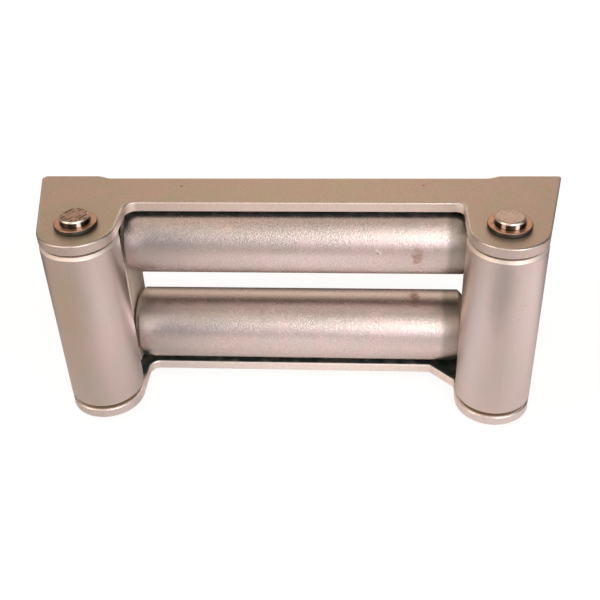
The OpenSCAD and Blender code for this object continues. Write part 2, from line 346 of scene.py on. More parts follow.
def makeZincGroup(shape):
    group, given, out = newGroup("zincPlating", {
        "Vector": ["Vector"], "Color": ["Tone", "Pink", "Olive"],
        "Float": ["Patch Scale", "Patch Share", "Grain Scale", "Grain Share", "Roughness", "Roughness Swing"],
    }, {"Color": ["Color"], "Float": ["Roughness", "Height"]})
    patch = noiseNode(group, given["Vector"], given["Patch Scale"], distortion=shape["patchBend"])
    pinkShare = product(group, rangeNode(group, patch, *shape["pinkSpan"]), given["Patch Share"])
    oliveShare = product(group, rangeNode(group, patch, *shape["oliveSpan"]), given["Patch Share"])
    toned = mixColour(group, pinkShare, given["Tone"], given["Pink"])
    toned = mixColour(group, oliveShare, toned, given["Olive"])
    grain = noiseNode(group, given["Vector"], given["Grain Scale"], rough=shape["grainRough"])
    signed = product(group, mathNode(group, "SUBTRACT", grain, 0.5), given["Grain Share"])
    factor = mathNode(group, "MULTIPLY_ADD", signed, shape["grainGain"], 1.0)
    grey = addNode(group, "CombineColor", Red=factor, Green=factor, Blue=factor).outputs[0]
    group.links.new(mixColour(group, 1.0, toned, grey, "MULTIPLY"), out["Color"])
    swing = product(group, mathNode(group, "SUBTRACT", patch, 0.5), given["Roughness Swing"])
    rough = mathNode(group, "MULTIPLY_ADD", swing, shape["swingGain"], given["Roughness"])
    group.links.new(rough, out["Roughness"])
    group.links.new(grain, out["Height"])
    return group


# A mask for stains and for patches of painted shading: one at its centre and nothing beyond its reach along
# each axis, with a ragged edge of noise
stainAndShadeShape = {"noiseRough": 0.65, "raggedGain": 2.0, "edgeSpan": (1.0, 0.1)}


def makeStainAndShadeGroup(shape):
    group, given, out = newGroup("stainAndShade", {
        "Vector": ["Vector", "Centre", "Reach"], "Float": ["Raggedness", "Noise Scale"]}, {"Float": ["Mask"]})
    away = vectorNode(group, "SUBTRACT", given["Vector"], given["Centre"])
    distance = vectorNode(group, "LENGTH", vectorNode(group, "DIVIDE", away, given["Reach"]))
    noise = noiseNode(group, given["Vector"], given["Noise Scale"], rough=shape["noiseRough"])
    ragged = product(group, mathNode(group, "SUBTRACT", noise, 0.5), given["Raggedness"])
    edge = mathNode(group, "MULTIPLY_ADD", ragged, shape["raggedGain"], distance)
    group.links.new(rangeNode(group, edge, *shape["edgeSpan"]), out["Mask"])
    return group


# Scattered specks: near the points of a random lattice, and only at the share of them whose own value is low
def makeSpeckGroup():
    group, given, out = newGroup("specks", {
        "Vector": ["Vector"], "Float": ["Scale", "Size", "Share"]}, {"Float": ["Mask"]})
    cells = addNode(group, "TexVoronoi", {"feature": "F1"}, Vector=given["Vector"], Scale=given["Scale"])
    picked = addNode(group, "SeparateColor", Color=cells.outputs["Color"]).outputs[0]
    kept = mathNode(group, "LESS_THAN", picked, given["Share"])
    near = rangeNode(group, cells.outputs["Distance"], given["Size"], 0.0)
    group.links.new(product(group, near, kept), out["Mask"])
    return group


zincGroup = makeZincGroup(platingShape)
stainAndShadeGroup = makeStainAndShadeGroup(stainAndShadeShape)
speckGroup = makeSpeckGroup()


def newFinish(name):
    material = bpy.data.materials.new(name)
    material.use_nodes = True
    tree = material.node_tree
    tree.nodes.clear()
    shader = tree.nodes.new("ShaderNodeBsdfPrincipled")
    output = tree.nodes.new("ShaderNodeOutputMaterial")
    tree.links.new(shader.outputs[0], output.inputs[0])
    place = tree.nodes.new("ShaderNodeTexCoord").outputs["Object"]
    return material, tree, shader, place


# How far a surface faces out along an axis, away from the object's middle: 0 on the side of a turned piece
# and 1 on its ends
def facingOut(tree, place, axis):
    normal = tree.nodes.new("ShaderNodeNewGeometry").outputs["Normal"]
    return product(tree, partOf(tree, normal, axis), mathNode(tree, "SIGN", partOf(tree, place, axis)))


# Lays a share of a tone over a colour and adds its mattness
def coat(tree, share, colour, rough, tone, matt):
    return mixColour(tree, share, colour, tone), mathNode(tree, "MULTIPLY_ADD", share, matt, rough)


# One zinc finish: the plating, then drawn lines, a painted highlight on bevels, a painted dark reflection on
# the right end, cut edges with painted shade on the ears and a painted highlight on the lip, stains and
# painted shading, painted shade on the inner faces, specks, and a bump from the grain. shadedFace is the side
# of a plate, 1 for high and -1 for low, that faces a roller and gets the painted shade.
def zincFinish(name, look, stainsAndShading=(), cutEdge=False, shadedFace=0):
    material, tree, shader, place = newFinish(name)
    zinc = useGroup(tree, zincGroup, Vector=place, Tone=look["tone"], Pink=look["pink"], Olive=look["olive"],
                    Patch_Scale=look["patchScale"], Patch_Share=look["patchShare"],
                    Grain_Scale=look["grainScale"], Grain_Share=look["grainShare"],
                    Roughness=look["roughness"], Roughness_Swing=look["roughSwing"])
    colour, rough, height = zinc["Color"], zinc["Roughness"], zinc["Height"]
    if "drawn" in look:
        drawn = look["drawn"]
        along = addNode(tree, "Mapping", Vector=place, Scale=drawn["stretch"]).outputs[0]
        lines = noiseNode(tree, along, drawn["scale"])
        share = product(tree, rangeNode(tree, lines, *drawn["span"]), drawn["share"])
        colour = mixColour(tree, share, colour, drawn["tone"])
        height = mathNode(tree, "MULTIPLY_ADD", lines, drawn["bump"], height)
    # Painted highlight: a near-white, matter coat on the chamfers that face along the axis
    if "bevelHighlight" in look:
        bevelHighlight = look["bevelHighlight"]
        share = rangeNode(tree, facingOut(tree, place, bevelHighlight["axis"]), *bevelHighlight["span"])
        colour, rough = coat(tree, share, colour, rough, bevelHighlight["tone"], bevelHighlight["matt"])
    # Painted dark reflection: a darker band over the right end of a level roller
    if "paintedEndShade" in look:
        band = look["paintedEndShade"]
        share = product(tree, rangeNode(tree, partOf(tree, place, "x"), *band["span"]), band["share"])
        colour = mixColour(tree, share, colour, band["tone"])
    if cutEdge:
        edge = addNode(tree, "Attribute", {"attribute_name": "cutEdge"}).outputs["Fac"]
        rugged = noiseNode(tree, place, look["edgeGrain"])
        share = product(tree, edge, rangeNode(tree, rugged, *look["edgeSpan"]))
        colour = mixColour(tree, share, colour, look["edgeTone"])
        # Painted shade: the cut edges of the ears, in front, are darkened
        front = product(tree, edge, rangeNode(tree, partOf(tree, place, "y"), *look["earShadeSpan"]))
        colour = mixColour(tree, front, colour, look["earShadeTone"], "MULTIPLY")
        # Painted highlight: a near-white, less rough line along the rounding between each face and the cut
        # side
        bothWays = product(tree, edge, mathNode(tree, "SUBTRACT", 1.0, edge))
        lipHighlight = product(tree, bothWays, rangeNode(tree, rugged, *look["lipHighlightSpan"]))  # at most 1
        colour, rough = coat(tree, lipHighlight, colour, rough, look["lipHighlightTone"], look["lipHighlightMatt"])
        height = mathNode(tree, "MULTIPLY_ADD", product(tree, edge, rugged), look["edgeBump"], height)
    # Stains, and patches of painted light and shade, each a coat of tone inside its reach
    for stainAndShade in stainsAndShading:
        mask = useGroup(tree, stainAndShadeGroup, Vector=place, Centre=stainAndShade["centre"], Reach=stainAndShade["reach"],
                        Raggedness=stainAndShade["ragged"], Noise_Scale=stainAndShade["noise"])["Mask"]
        share = product(tree, mask, stainAndShade["share"])
        colour, rough = coat(tree, share, colour, rough, stainAndShade["tone"], stainAndShade["matt"])
    # Painted shade: a dark teal coat on the inner face that looks at the rollers, behind the front edge and
    # between the ears
    if shadedFace:
        facing = addNode(tree, "Attribute", {"attribute_name": "facing"}).outputs["Fac"]
        sideways = mathNode(tree, "ABSOLUTE", partOf(tree, place, "x"))
        patchy = noiseNode(tree, place, look["paintedShadeScale"], rough=look["paintedShadeRough"])
        share = product(tree, rangeNode(tree, product(tree, facing, shadedFace), *look["paintedShadeFacing"]),
                        rangeNode(tree, partOf(tree, place, "y"), *look["paintedShadeFront"]),
                        rangeNode(tree, sideways, *look["paintedShadeSide"]),
                        rangeNode(tree, patchy, *look["paintedShadeSpan"]), look["paintedShadeShare"])
        colour, rough = coat(tree, share, colour, rough, look["paintedShadeTone"], look["paintedShadeMatt"])
    specks = useGroup(tree, speckGroup, Vector=place, Scale=look["speckScale"], Size=look["speckSize"],
                      Share=look["speckShare"])["Mask"]
    colour = mixColour(tree, product(tree, specks, look["speckDepth"]), colour, look["speckTone"])
    grainy = bumpNode(tree, height, look["bump"], look["bumpDepth"])
    setSockets(tree, shader, {"Base_Color": colour, "Roughness": rough, "Metallic": look["metallic"],
                              "Normal": grainy})
    return material


plateLook = {
    "tone": (0.75, 0.645, 0.53, 1), "pink": (0.80, 0.645, 0.55, 1), "olive": (0.70, 0.635, 0.49, 1),
    "patchScale": 55.0, "patchShare": 0.9, "grainScale": 1300.0, "grainShare": 0.15,
    "roughness": 0.5, "roughSwing": 0.1, "metallic": 1.0, "bump": 0.35, "bumpDepth": 0.0001,
    "edgeTone": (0.80, 0.72, 0.68, 1), "edgeSpan": (0.3, 0.65, 0.35, 1.0), "edgeGrain": 520.0,
    "edgeBump": 2.2, "earShadeTone": (0.77, 0.77, 0.78, 1), "earShadeSpan": (-0.058, -0.066),  # painted shade on the cut edges of the ears
    "lipHighlightTone": (0.98, 0.93, 0.90, 1), "lipHighlightSpan": (0.35, 0.6, 1.5, 4.0), "lipHighlightMatt": -0.22,
    # Painted shade on the inner faces: its tone, patchiness, share and where it lies
    "paintedShadeTone": (0.012, 0.055, 0.058, 1), "paintedShadeScale": 120.0, "paintedShadeRough": 0.5,
    "paintedShadeSpan": (0.25, 0.6, 0.75, 1.0), "paintedShadeShare": 0.93, "paintedShadeMatt": 0.2,
    "paintedShadeFacing": (0.6, 0.97), "paintedShadeFront": (-0.052, -0.043), "paintedShadeSide": (0.106, 0.0985),
    "speckTone": (0.34, 0.25, 0.19, 1), "speckScale": 90.0, "speckSize": 0.06, "speckShare": 0.12,
    "speckDepth": 0.35,
}
uprightLook = {
    **plateLook,
    "tone": (0.635, 0.57, 0.54, 1), "pink": (0.67, 0.57, 0.545, 1), "olive": (0.60, 0.57, 0.52, 1),
    "patchShare": 0.6, "grainScale": 1200.0, "grainShare": 0.05,
    "roughness": 0.4, "roughSwing": 0.08, "bump": 0.3,
    "drawn": {"stretch": (1, 1, 0.035), "scale": 520.0, "span": (0.5, 0.75), "share": 0.12,
              "tone": (0.42, 0.38, 0.36, 1), "bump": 0.25},
    "bevelHighlight": {"axis": "z", "span": (0.3, 0.65), "tone": (0.98, 0.94, 0.89, 1), "matt": 0.2},
    "speckScale": 110.0, "speckSize": 0.09, "speckShare": 0.1, "speckDepth": 0.4,
}
levelLook = {
    **plateLook,
    "tone": (0.70, 0.63, 0.605, 1), "pink": (0.74, 0.63, 0.61, 1), "olive": (0.66, 0.63, 0.585, 1),
    "patchScale": 70.0, "patchShare": 0.6, "grainScale": 1200.0, "grainShare": 0.23,
    "roughness": 0.26, "roughSwing": 0.08, "bump": 1.0, "bumpDepth": 0.00013,
    "speckScale": 140.0, "speckSize": 0.08, "speckShare": 0.14,
    "paintedEndShade": {"span": (0.0825, 0.0864), "share": 0.68, "tone": (0.32, 0.31, 0.27, 1)},  # painted shade: the dark reflection of the right upright roller on the right end
}
# Painted light: the bottom plate's cut edges get a lighter tone than the top plate's
bottomLook = {**plateLook, "edgeTone": (0.96, 0.91, 0.87, 1), "edgeSpan": (0.3, 0.65, 0.7, 1.0)}
endLook = {**plateLook, "tone": (0.80, 0.74, 0.63, 1), "metallic": 0.3, "roughness": 0.6}  # chalky old zinc
weldLook = {**plateLook, "tone": (0.60, 0.54, 0.49, 1), "roughness": 0.45, "grainShare": 0.1, "bump": 0.6}
rust = {"ragged": 0.9, "noise": 420.0, "share": 0.6, "tone": (0.30, 0.13, 0.06, 1), "matt": 0.25}
darkDot = {"ragged": 0.4, "noise": 700.0, "share": 0.7, "tone": (0.2, 0.13, 0.09, 1), "matt": 0.2}
# A light scratch; on the top plate's fillet it makes a painted glint
scratchAndGlint = {"ragged": 0.3, "noise": 900.0, "share": 0.8, "tone": (0.96, 0.92, 0.88, 1), "matt": 0.0}
# Painted shading: tone patches on the rollers that stand in for reflections and shade
paintedShading = {"ragged": 0.35, "noise": 60.0, "share": 0.5, "tone": (0.36, 0.35, 0.35, 1), "matt": 0.0}
leftEndShade = {**paintedShading, "reach": (0.032, 0.03, 0.022), "tone": (0.40, 0.40, 0.40, 1)}  # painted cool shade on the left ends of the level rollers
upperStainsAndShade = [
    {**rust, "centre": (0.0681, -0.0424, 0.0312), "reach": (0.0042, 0.006, 0.0085)},
    {**darkDot, "centre": (-0.035, -0.0362, 0.046), "reach": (0.0022, 0.0022, 0.0022),
     "tone": (0.72, 0.42, 0.25, 1), "share": 0.5},
    *({**scratchAndGlint, "centre": (x, -0.0423, z), "reach": (0.0014, 0.004, 0.0013)}
      for x, z in ((0.0456, 0.0348), (0.0466, 0.0340), (0.0476, 0.0332))),
    {**leftEndShade, "centre": (-0.078, -0.0395, 0.038)},
    {**darkDot, "centre": (0.0462, -0.0423, 0.0328), "reach": (0.0013, 0.004, 0.0006)},
]
lowerStainsAndShade = [
    {**rust, "centre": (0.0681, -0.0235, -0.0101), "reach": (0.0040, 0.0095, 0.006)},
    {**darkDot, "centre": (-0.0847, -0.0412, -0.0238), "reach": (0.0011, 0.0011, 0.0011)},
    {**leftEndShade, "centre": (-0.078, -0.0395, -0.024), "share": 0.45},
]
# Painted light: a yellowish tone over the left front side of the left upright roller
leftPaintedLight = [{**paintedShading, "centre": (-0.122, -0.0765, 0.02), "reach": (0.017, 0.02, 0.062),
               "tone": (0.63, 0.53, 0.42, 1), "share": 0.7}]
rightSpecksAndPaintedLight = [
    # Painted light: a cooler tone on the left side of the right upright roller
    {**paintedShading, "centre": (0.0985, -0.070, 0.0), "reach": (0.009, 0.02, 0.05),
     "tone": (0.63, 0.61, 0.61, 1), "share": 0.6},
    # Painted dark reflection: a darker band down the front of the right upright roller
    {**paintedShading, "centre": (0.1085, -0.0778, 0.034), "reach": (0.0095, 0.012, 0.034)},
    *({**darkDot, "centre": dot, "reach": (0.001, 0.001, 0.0012), "share": 0.6} for dot in (
        (0.1198, -0.0779, 0.0152), (0.0988, -0.0738, 0.0261), (0.1227, -0.0766, 0.0233),
        (0.1009, -0.0755, 0.0098), (0.0994, -0.0744, -0.0046))),
]
topStainsAndGlint = [
    *({**darkDot, "centre": (x, y, 0.05905), "reach": (0.0012, 0.0009, 0.001)}
      for x, y in ((-0.064, -0.0144), (0.071, -0.0135))),
    # Painted glint on the right inner fillet of the top plate
    {**scratchAndGlint, "centre": (0.0905, -0.034, 0.0572), "reach": (0.005, 0.004, 0.004), "ragged": 0.5,
     "matt": 0.3},
]
topFinish = zincFinish("topPlateZinc", plateLook, topStainsAndGlint, cutEdge=True, shadedFace=-1)
bottomFinish = zincFinish("bottomPlateZinc", bottomLook, cutEdge=True, shadedFace=1)
endFinish = zincFinish("endPlateZinc", endLook, cutEdge=True)
flangeFinish = zincFinish("flangeZinc", plateLook, cutEdge=True)
weldFinish = zincFinish("weldZinc", weldLook)


# Pins: steel whose side is painted near black as a painted dark reflection, with a worn lip lightened further
# as a painted highlight, and sawn ends that keep bent parallel marks near the rim. sawn is how strongly they
# show. A painted highlight streak on the side is towards its azimuth, in degrees from the front.
pinLook = {
    "tone": (0.95, 0.87, 0.80, 1), "smooth": (0.74, 0.62, 0.54, 1), "sawn": (0.60, 0.44, 0.36, 1),
    "mark": (0.12, 0.07, 0.05, 1), "side": (0.055, 0.05, 0.045, 1), "streakHighlight": (0.98, 0.95, 0.92, 1),
    "roughSpan": (0.2, 0.8, 0.10, 0.19), "lipHighlightMatt": 0.2, "streakHighlightMatt": 0.4, "streakHighlightSpread": (10.0, 4.0),
    "markScale": 150.0, "markBend": 4.0, "markDetail": 3.0, "markDetailScale": 1.5, "markSpan": (0.3, 0.8),
    "markBump": 0.5, "markDepth": 0.00012, "turn": (0, 0, 0.6), "patchScale": 420.0, "wornSpan": (0.4, 0.52),
    "rimSpan": (0.001, 0.0042), "endSpan": (0.85, 0.97), "lipHighlightSpan": (0.05, 0.35),
}
# Rings and bushes: a worn tone on the faces that look along the axis; the side is painted dark as a painted
# dark reflection and a band beside the pin as painted shade. paintedShadeSpan is in metres from the axis.
turnedLook = {"patchSpan": (0.45, 0.75), "faceSpan": (0.5, 0.85), "fineScale": 2600.0, "fineDetail": 2.0,
              "fineRough": 0.5, "bump": 0.15, "bumpDepth": 0.00005}
ringLook = {
    **turnedLook,
    "tone": (0.82, 0.52, 0.37, 1), "dark": (0.58, 0.35, 0.23, 1), "side": (0.07, 0.07, 0.065, 1),
    "roughSpan": (0.2, 0.8, 0.37, 0.46), "patchScale": 320.0, "paintedShadeSpan": (0.0079, 0.0087),
}
bushLook = {
    **turnedLook,
    "tone": (0.42, 0.33, 0.19, 1), "dark": (0.24, 0.18, 0.10, 1), "side": (0.12, 0.10, 0.07, 1),
    "roughSpan": (0.2, 0.8, 0.31, 0.40), "patchScale": 200.0, "paintedShadeSpan": (0.009, 0.0105),
}


# The middle of a node, half its length along the axis and half its width across
def nodePlace(node, axis):
    low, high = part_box(node)
    along = "xyz".index(axis)
    across = (along + 1) % 3
    return (low + high) / 2, (high[along] - low[along]) / 2, (high[across] - low[across]) / 2


# The way from the axis straight out to the place, and its length
def fromAxis(tree, place, axis, centre):
    across = tuple(0.0 if name == axis else 1.0 for name in "xyz")
    flat = vectorNode(tree, "MULTIPLY", vectorNode(tree, "SUBTRACT", place, centre), across)
    return flat, vectorNode(tree, "LENGTH", flat)


# 1 within the smaller angle of an azimuth about the axis, 0 beyond the larger one
def streakMask(tree, flat, azimuth, spread):
    towards = (math.sin(math.radians(azimuth)), -math.cos(math.radians(azimuth)), 0.0)
    cosine = vectorNode(tree, "DOT_PRODUCT", vectorNode(tree, "NORMALIZE", flat), towards)
    return rangeNode(tree, cosine, *(math.cos(math.radians(angle)) for angle in spread))


def pinFinish(side, axis, sawn, highlightStreaks, look):
    material, tree, shader, place = newFinish(side + "PinSteel")
    turned = addNode(tree, "Mapping", Vector=place, Rotation=look["turn"]).outputs[0]
    marks = addNode(tree, "TexWave", {"bands_direction": "X"}, Vector=turned, Scale=look["markScale"],
                    Distortion=look["markBend"], Detail=look["markDetail"],
                    Detail_Scale=look["markDetailScale"]).outputs["Fac"]
    patch = noiseNode(tree, place, look["patchScale"])
    facing = facingOut(tree, place, axis)
    onEnd = rangeNode(tree, facing, *look["endSpan"])
    onLip = rangeNode(tree, facing, *look["lipHighlightSpan"])
    offLip = mathNode(tree, "SUBTRACT", 1.0, onLip)
    flat, distance = fromAxis(tree, place, axis, nodePlace(side + "_pin", axis)[0])
    worn = product(tree, rangeNode(tree, marks, *look["markSpan"]), rangeNode(tree, patch, *look["wornSpan"]),
                   rangeNode(tree, distance, *look["rimSpan"]), onEnd, sawn)
    rough = rangeNode(tree, patch, *look["roughSpan"])
    # Painted dark reflection: the side starts from a near-black tone
    colour, metal = look["side"], 1.0
    # Painted highlights: near-white, less metallic streaks on the side at their azimuths
    for azimuth, share in highlightStreaks:
        streakHighlight = product(tree, streakMask(tree, flat, azimuth, look["streakHighlightSpread"]), share, offLip)
        colour, rough = coat(tree, streakHighlight, colour, rough, look["streakHighlight"], look["streakHighlightMatt"])
        metal = mathNode(tree, "SUBTRACT", metal, streakHighlight)
    # The lip: wear and a painted highlight, a near-white tone
    colour, rough = coat(tree, onLip, colour, rough, look["tone"], look["lipHighlightMatt"])
    colour = mixColour(tree, onEnd, colour, mixColour(tree, sawn, look["smooth"], look["sawn"]))
    colour = mixColour(tree, worn, colour, look["mark"])
    scored = bumpNode(tree, product(tree, marks, onEnd, sawn), look["markBump"], look["markDepth"])
    setSockets(tree, shader, {"Base_Color": colour, "Roughness": rough, "Metallic": metal, "Normal": scored})
    return material


def turnedFinish(name, side, axis, look):
    material, tree, shader, place = newFinish(side + name)
    patch = noiseNode(tree, place, look["patchScale"])
    face = mixColour(tree, rangeNode(tree, patch, *look["patchSpan"]), look["tone"], look["dark"])
    distance = fromAxis(tree, place, axis, nodePlace(side + "_pin", axis)[0])[1]
    # Painted shade and dark reflection: the side, and a band on the faces beside the pin, keep the dark side
    # tone
    unshaded = product(tree, rangeNode(tree, distance, *look["paintedShadeSpan"]),
                    rangeNode(tree, facingOut(tree, place, axis), *look["faceSpan"]))
    colour = mixColour(tree, unshaded, look["side"], face)
    rough = rangeNode(tree, patch, *look["roughSpan"])
    fine = noiseNode(tree, place, look["fineScale"], look["fineDetail"], look["fineRough"])
    grainy = bumpNode(tree, fine, look["bump"], look["bumpDepth"])
    setSockets(tree, shader, {"Base_Color": colour, "Roughness": rough, "Metallic": 1.0, "Normal": grainy})
    return material


pins = {  # axis, saw marks and painted highlight streaks of each
    "left": {"axis": "z", "sawn": 1.0, "highlightStreaks": [(30, 1.0)]},
    "right": {"axis": "z", "sawn": 0.2, "highlightStreaks": [(20, 1.0), (-32, 0.6)]},
    "upper": {"axis": "x", "sawn": 0.6, "highlightStreaks": []},
    "lower": {"axis": "x", "sawn": 0.6, "highlightStreaks": []},
}
pinFinishes = {side: pinFinish(side, look=pinLook, **pin) for side, pin in pins.items()}
ringFinishes = {side: turnedFinish("RingSteel", side, pin["axis"], ringLook) for side, pin in pins.items()}
bushFinishes = {side: turnedFinish("BushBronze", side, pin["axis"], bushLook) for side, pin in pins.items()}
print("finishes made")


# Rollers: a tube section with chamfered ends, every edge rounded

rollers = {  # end chamfer, look, and stains and painted shading of each
    "left": (0.0015, uprightLook, leftPaintedLight),
    "right": (0.0015, uprightLook, rightSpecksAndPaintedLight),
    "upper": (0.0024, levelLook, upperStainsAndShade),
    "lower": (0.0024, levelLook, lowerStainsAndShade),
}
rollerShape = {"bore": 0.013, "edge": 0.0004, "steps": 192}
rollerEnds = {"z": ("bottom", "top"), "x": ("left", "right")}


def addRoller(side, axis, chamfer, finish, shape):
    centre, half, radius = nodePlace(side + "_roller", axis)
    bore, edge = shape["bore"], shape["edge"]
    corners = [(bore, -half, edge), (radius - chamfer, -half, edge), (radius, chamfer - half, 2 * edge),
               (radius, half - chamfer, 2 * edge), (radius - chamfer, half, edge), (bore, half, edge)]
    addTurned(side + "_roller", roundedOutline(corners), axis, centre, shape["steps"], finish)


for side, (chamfer, look, stainsAndShading) in rollers.items():
    finish = zincFinish(side + "RollerZinc", look, stainsAndShading)
    addRoller(side, pins[side]["axis"], chamfer, finish, rollerShape)
print("rollers made")


# Bushes: a sleeve in the bore and a thin flange on the roller's end

bushShape = {"bore": 0.008, "sleeve": 0.01298, "flange": 0.017, "flangeThick": 0.0015, "edge": 0.0002,
             "steps": 96}


def addBush(side, end, axis, sign, shape):
    node = "%s_roller_%s_bush" % (side, end)
    centre, half = nodePlace(node, axis)[:2]
    seat = half - shape["flangeThick"]  # the roller's end face, from the middle of the bush
    corners = [(shape["bore"], -half), (shape["sleeve"], -half), (shape["sleeve"], seat),
               (shape["flange"], seat), (shape["flange"], half), (shape["bore"], half)]
    if sign < 0:
        corners = [(radius, -height) for radius, height in reversed(corners)]
    outline = roundedOutline([(*corner, shape["edge"]) for corner in corners])
    addTurned(node, outline, axis, centre, shape["steps"], bushFinishes[side])


for side, pin in pins.items():
    for end, sign in zip(rollerEnds[pin["axis"]], (-1, 1)):
        addBush(side, end, pin["axis"], sign, bushShape)
print("bushes made")


# Pins: a bar with rounded tips and a groove for each ring. Rings: an open ring with its mouth to the rear.

pinShape = {"groove": 0.00725, "tip": 0.0014, "tipLength": 0.0037, "slack": 0.00005, "edge": 0.00012,
            "steps": 96}
ringShape = {"inner": 0.0073, "outer": 0.01155, "thick": 0.0026, "innerEdge": 0.0003, "outerEdge": 0.0008,
             "mouth": 48.0, "steps": 120}
mouthAngle = {"x": 0.0, "z": 90.0}  # where +Y lies in the frame of that axis


def addPin(side, axis, finish, shape):
    centre, half, radius = nodePlace(side + "_pin", axis)
    edge, groove = shape["edge"], shape["groove"]
    grooveOuter = half - shape["tipLength"] + shape["slack"]
    grooveInner = grooveOuter - ringShape["thick"] - 2 * shape["slack"]
    upper = [(radius, grooveInner, edge), (groove, grooveInner, edge), (groove, grooveOuter, edge),
             (radius, grooveOuter, edge), (radius, half, shape["tip"]), (0, half, 0)]
    lower = [(r, -height, rounding) for r, height, rounding in reversed(upper)]
    outline = roundedOutline(lower + upper, closed=False)
    addTurned(side + "_pin", outline, axis, centre, shape["steps"], finish, closed=False)


def addRing(side, end, axis, shape):
    node = "%s_pin_%s_ring" % (side, end)
    centre = nodePlace(side + "_pin", axis)[0]
    along = "xyz".index(axis)
    centre[along] = nodePlace(node, axis)[0][along]
    half = shape["thick"] / 2
    inner, outer = (shape["inner"], shape["innerEdge"]), (shape["outer"], shape["outerEdge"])
    corners = [(inner, -half), (outer, -half), (outer, half), (inner, half)]
    outline = roundedOutline([(radius, height, edge) for (radius, edge), height in corners])
    first = math.radians(mouthAngle[axis] + shape["mouth"] / 2)
    last = math.radians(mouthAngle[axis] + 360 - shape["mouth"] / 2)
    addTurned(node, outline, axis, centre, shape["steps"], ringFinishes[side], span=(first, last))


for side, pin in pins.items():
    addPin(side, pin["axis"], pinFinishes[side], pinShape)
    for end in rollerEnds[pin["axis"]]:
        addRing(side, end, pin["axis"], ringShape)
print("pins and rings made")


# Top and bottom plates: ears in front, a recess between them, and a relief in the rear edge

plateShape = {
    "earRadius": 0.021, "front": -0.0326, "rear": -0.002,
    "rearCorners": {"top_plate": 0.1476, "bottom_plate": 0.1454},
    "relief": 0.0027, "reliefStart": 0.1076, "reliefRun": 0.0059, "reliefRadius": 0.006,
    "leftFillet": 0.006, "leftCorner": 0.0032, "rightFillet": 0.0045, "rightCorner": 0.0015,
    "slope": 0.0137, "slopeRadius": 0.002, "pinHole": 0.0081,
    "lowEdge": (0.0006, 0.0006), "highEdge": (0.0014, 0.0009),  # inset and depth of the rounding
}


# One side of the outline from its inner corner round the ear to the relief, for a positive x. The ear's arc
# touches its inner edge and its outer side, so its corner is where these two lines meet far in front.
def plateSide(ear, inner, rearX, rearRadius, shape):
    away = Vector((rearX - ear.x, shape["rear"] - ear.y))
    tangent = math.atan2(away.y, away.x) - math.acos(shape["earRadius"] / away.length)
    apexY = shape["rear"] - (rearX - ear.x + shape["earRadius"]) / math.tan(-tangent)
    return inner + [
        (ear.x - shape["earRadius"], apexY, shape["earRadius"]),
        (rearX, shape["rear"], rearRadius),
        (shape["reliefStart"] + shape["reliefRun"], shape["rear"], shape["reliefRadius"]),
        (shape["reliefStart"], shape["rear"] - shape["relief"], shape["reliefRadius"]),
    ]


def addPlate(node, inner, finish, shape):
    low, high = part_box(node)
    ear = nodePlace("right_pin", "z")[0]
    cornerX = ear.x - shape["earRadius"]
    if inner == "slope":
        rightInner = [(cornerX - shape["slope"], shape["front"], shape["slopeRadius"]),
                      (cornerX, shape["front"] - shape["slope"], shape["slopeRadius"])]
    else:
        rightInner = [(cornerX, shape["front"], shape["rightFillet"])]
    leftInner = [(cornerX, shape["front"], shape["leftFillet"])]
    rearX = shape["rearCorners"][node]
    right = plateSide(ear, rightInner, rearX, shape["rightCorner"], shape)
    left = plateSide(ear, leftInner, rearX, shape["leftCorner"], shape)
    outline = roundedOutline(right + [(-x, y, radius) for x, y, radius in reversed(left)])
    holes = [holeOutline((x, ear.y), shape["pinHole"]) for x in (ear.x, -ear.x)]
    addCut(node, [outline] + holes, "z", low.z, high.z, (shape["lowEdge"], shape["highEdge"]), finish)


addPlate("top_plate", "fillet", topFinish, plateShape)
addPlate("bottom_plate", "slope", bottomFinish, plateShape)
print("plates made")


# End plates and mounting flanges: rectangles with broken edges and drilled holes

sheetShape = {"corner": 0.0006, "edge": (0.0004, 0.0004), "boltHole": 0.00675, "boltX": 0.127}


def rectangle(lowU, lowV, highU, highV, radius):
    corners = [(lowU, lowV), (highU, lowV), (highU, highV), (lowU, highV)]
    return roundedOutline([(*corner, radius) for corner in corners])


def addEndPlate(side, shape):
    node = side + "_end_plate"
    low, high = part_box(node)
    outline = rectangle(low.y, low.z, high.y, high.z, shape["corner"])
    centres = [nodePlace(pin, "x")[0] for pin in ("upper_pin", "lower_pin")]
    holes = [holeOutline((centre.y, centre.z), plateShape["pinHole"]) for centre in centres]
    addCut(node, [outline] + holes, "x", low.x, high.x, [shape["edge"]] * 2, endFinish)


def addFlange(side, sign, shape):
    node = side + "_mounting_flange"
    low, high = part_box(node)
    outline = rectangle(low.z, low.x, high.z, high.x, shape["corner"])
    hole = holeOutline((0, sign * shape["boltX"]), shape["boltHole"])
    addCut(node, [outline, hole], "y", low.y, high.y, [shape["edge"]] * 2, flangeFinish)


for side, sign in (("left", -1), ("right", 1)):
    addEndPlate(side, sheetShape)
    addFlange(side, sign, sheetShape)
print("end plates and flanges made")


# Weld beads: a convex section in the corner between two legs, carried along the corner. Its scale has
# crescent ripples, which lag in the middle of the bead, and falls to nothing round both ends.

weldShape = {"leg": 0.003, "sink": 0.5, "stop": 0.0015, "ripple": 0.07, "pitch": 0.0021, "lag": 0.45,
             "endRound": 0.0022, "across": 13, "step": 0.0003, "leastNormal": 1e-12}


